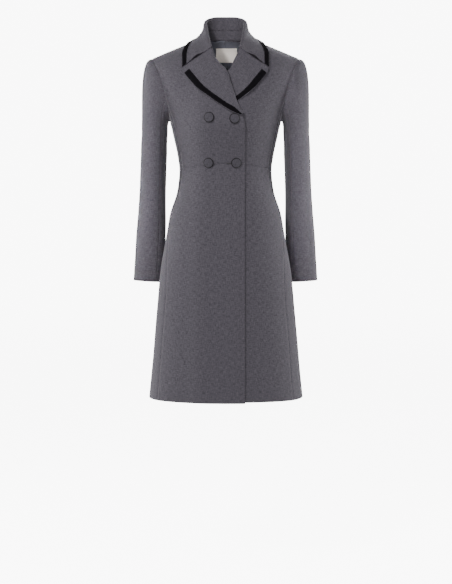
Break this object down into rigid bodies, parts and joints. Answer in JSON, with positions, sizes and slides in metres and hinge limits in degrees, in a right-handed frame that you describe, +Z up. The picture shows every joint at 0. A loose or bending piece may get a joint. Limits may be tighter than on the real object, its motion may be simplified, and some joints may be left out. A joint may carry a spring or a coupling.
{
  "type": "fitted long coat",
  "caption": "Knee-length fitted wool coat, filled out and empty, with a double-breasted front, high turned-down collar, wide lapels edged in velvet and set-in sleeves.",
  "frame": {"origin": "midway between the neck ends of the two shoulder seams, 2 mm under them, where the coat is held", "axes": "+Z up, -Y to the front of the coat, +X to the wearer's left"},
  "size_m": [0.5064, 0.316, 1.032],
  "materials": {
    "grey_wool": "fine matt wool suiting",
    "black_velvet": "short-pile velvet",
    "blue_grey_lining": "satin lining",
    "ivory_label": "plain woven label, bare"
  },
  "bodies": {
    "root": {"right_front_bodice": "grey_wool", "right_front_skirt": "grey_wool", "right_side_panel": "grey_wool", "right_back": "grey_wool", "right_top_sleeve": "grey_wool", "right_under_sleeve": "grey_wool", "right_lapel": "grey_wool", "left_front_bodice": "grey_wool", "left_front_skirt": "grey_wool", "left_side_panel": "grey_wool", "left_back": "grey_wool", "left_top_sleeve": "grey_wool", "left_under_sleeve": "grey_wool", "left_lapel": "grey_wool", "collar_stand": "grey_wool", "collar": "grey_wool", "upper_outer_button": "grey_wool", "upper_edge_button": "grey_wool", "lower_outer_button": "grey_wool", "lower_edge_button": "grey_wool", "right_lapel_trim": "black_velvet", "left_lapel_trim": "black_velvet", "collar_trim": "black_velvet", "right_back_lining": "blue_grey_lining", "left_back_lining": "blue_grey_lining", "neck_label": "ivory_label"}
  },
  "joints": []
}
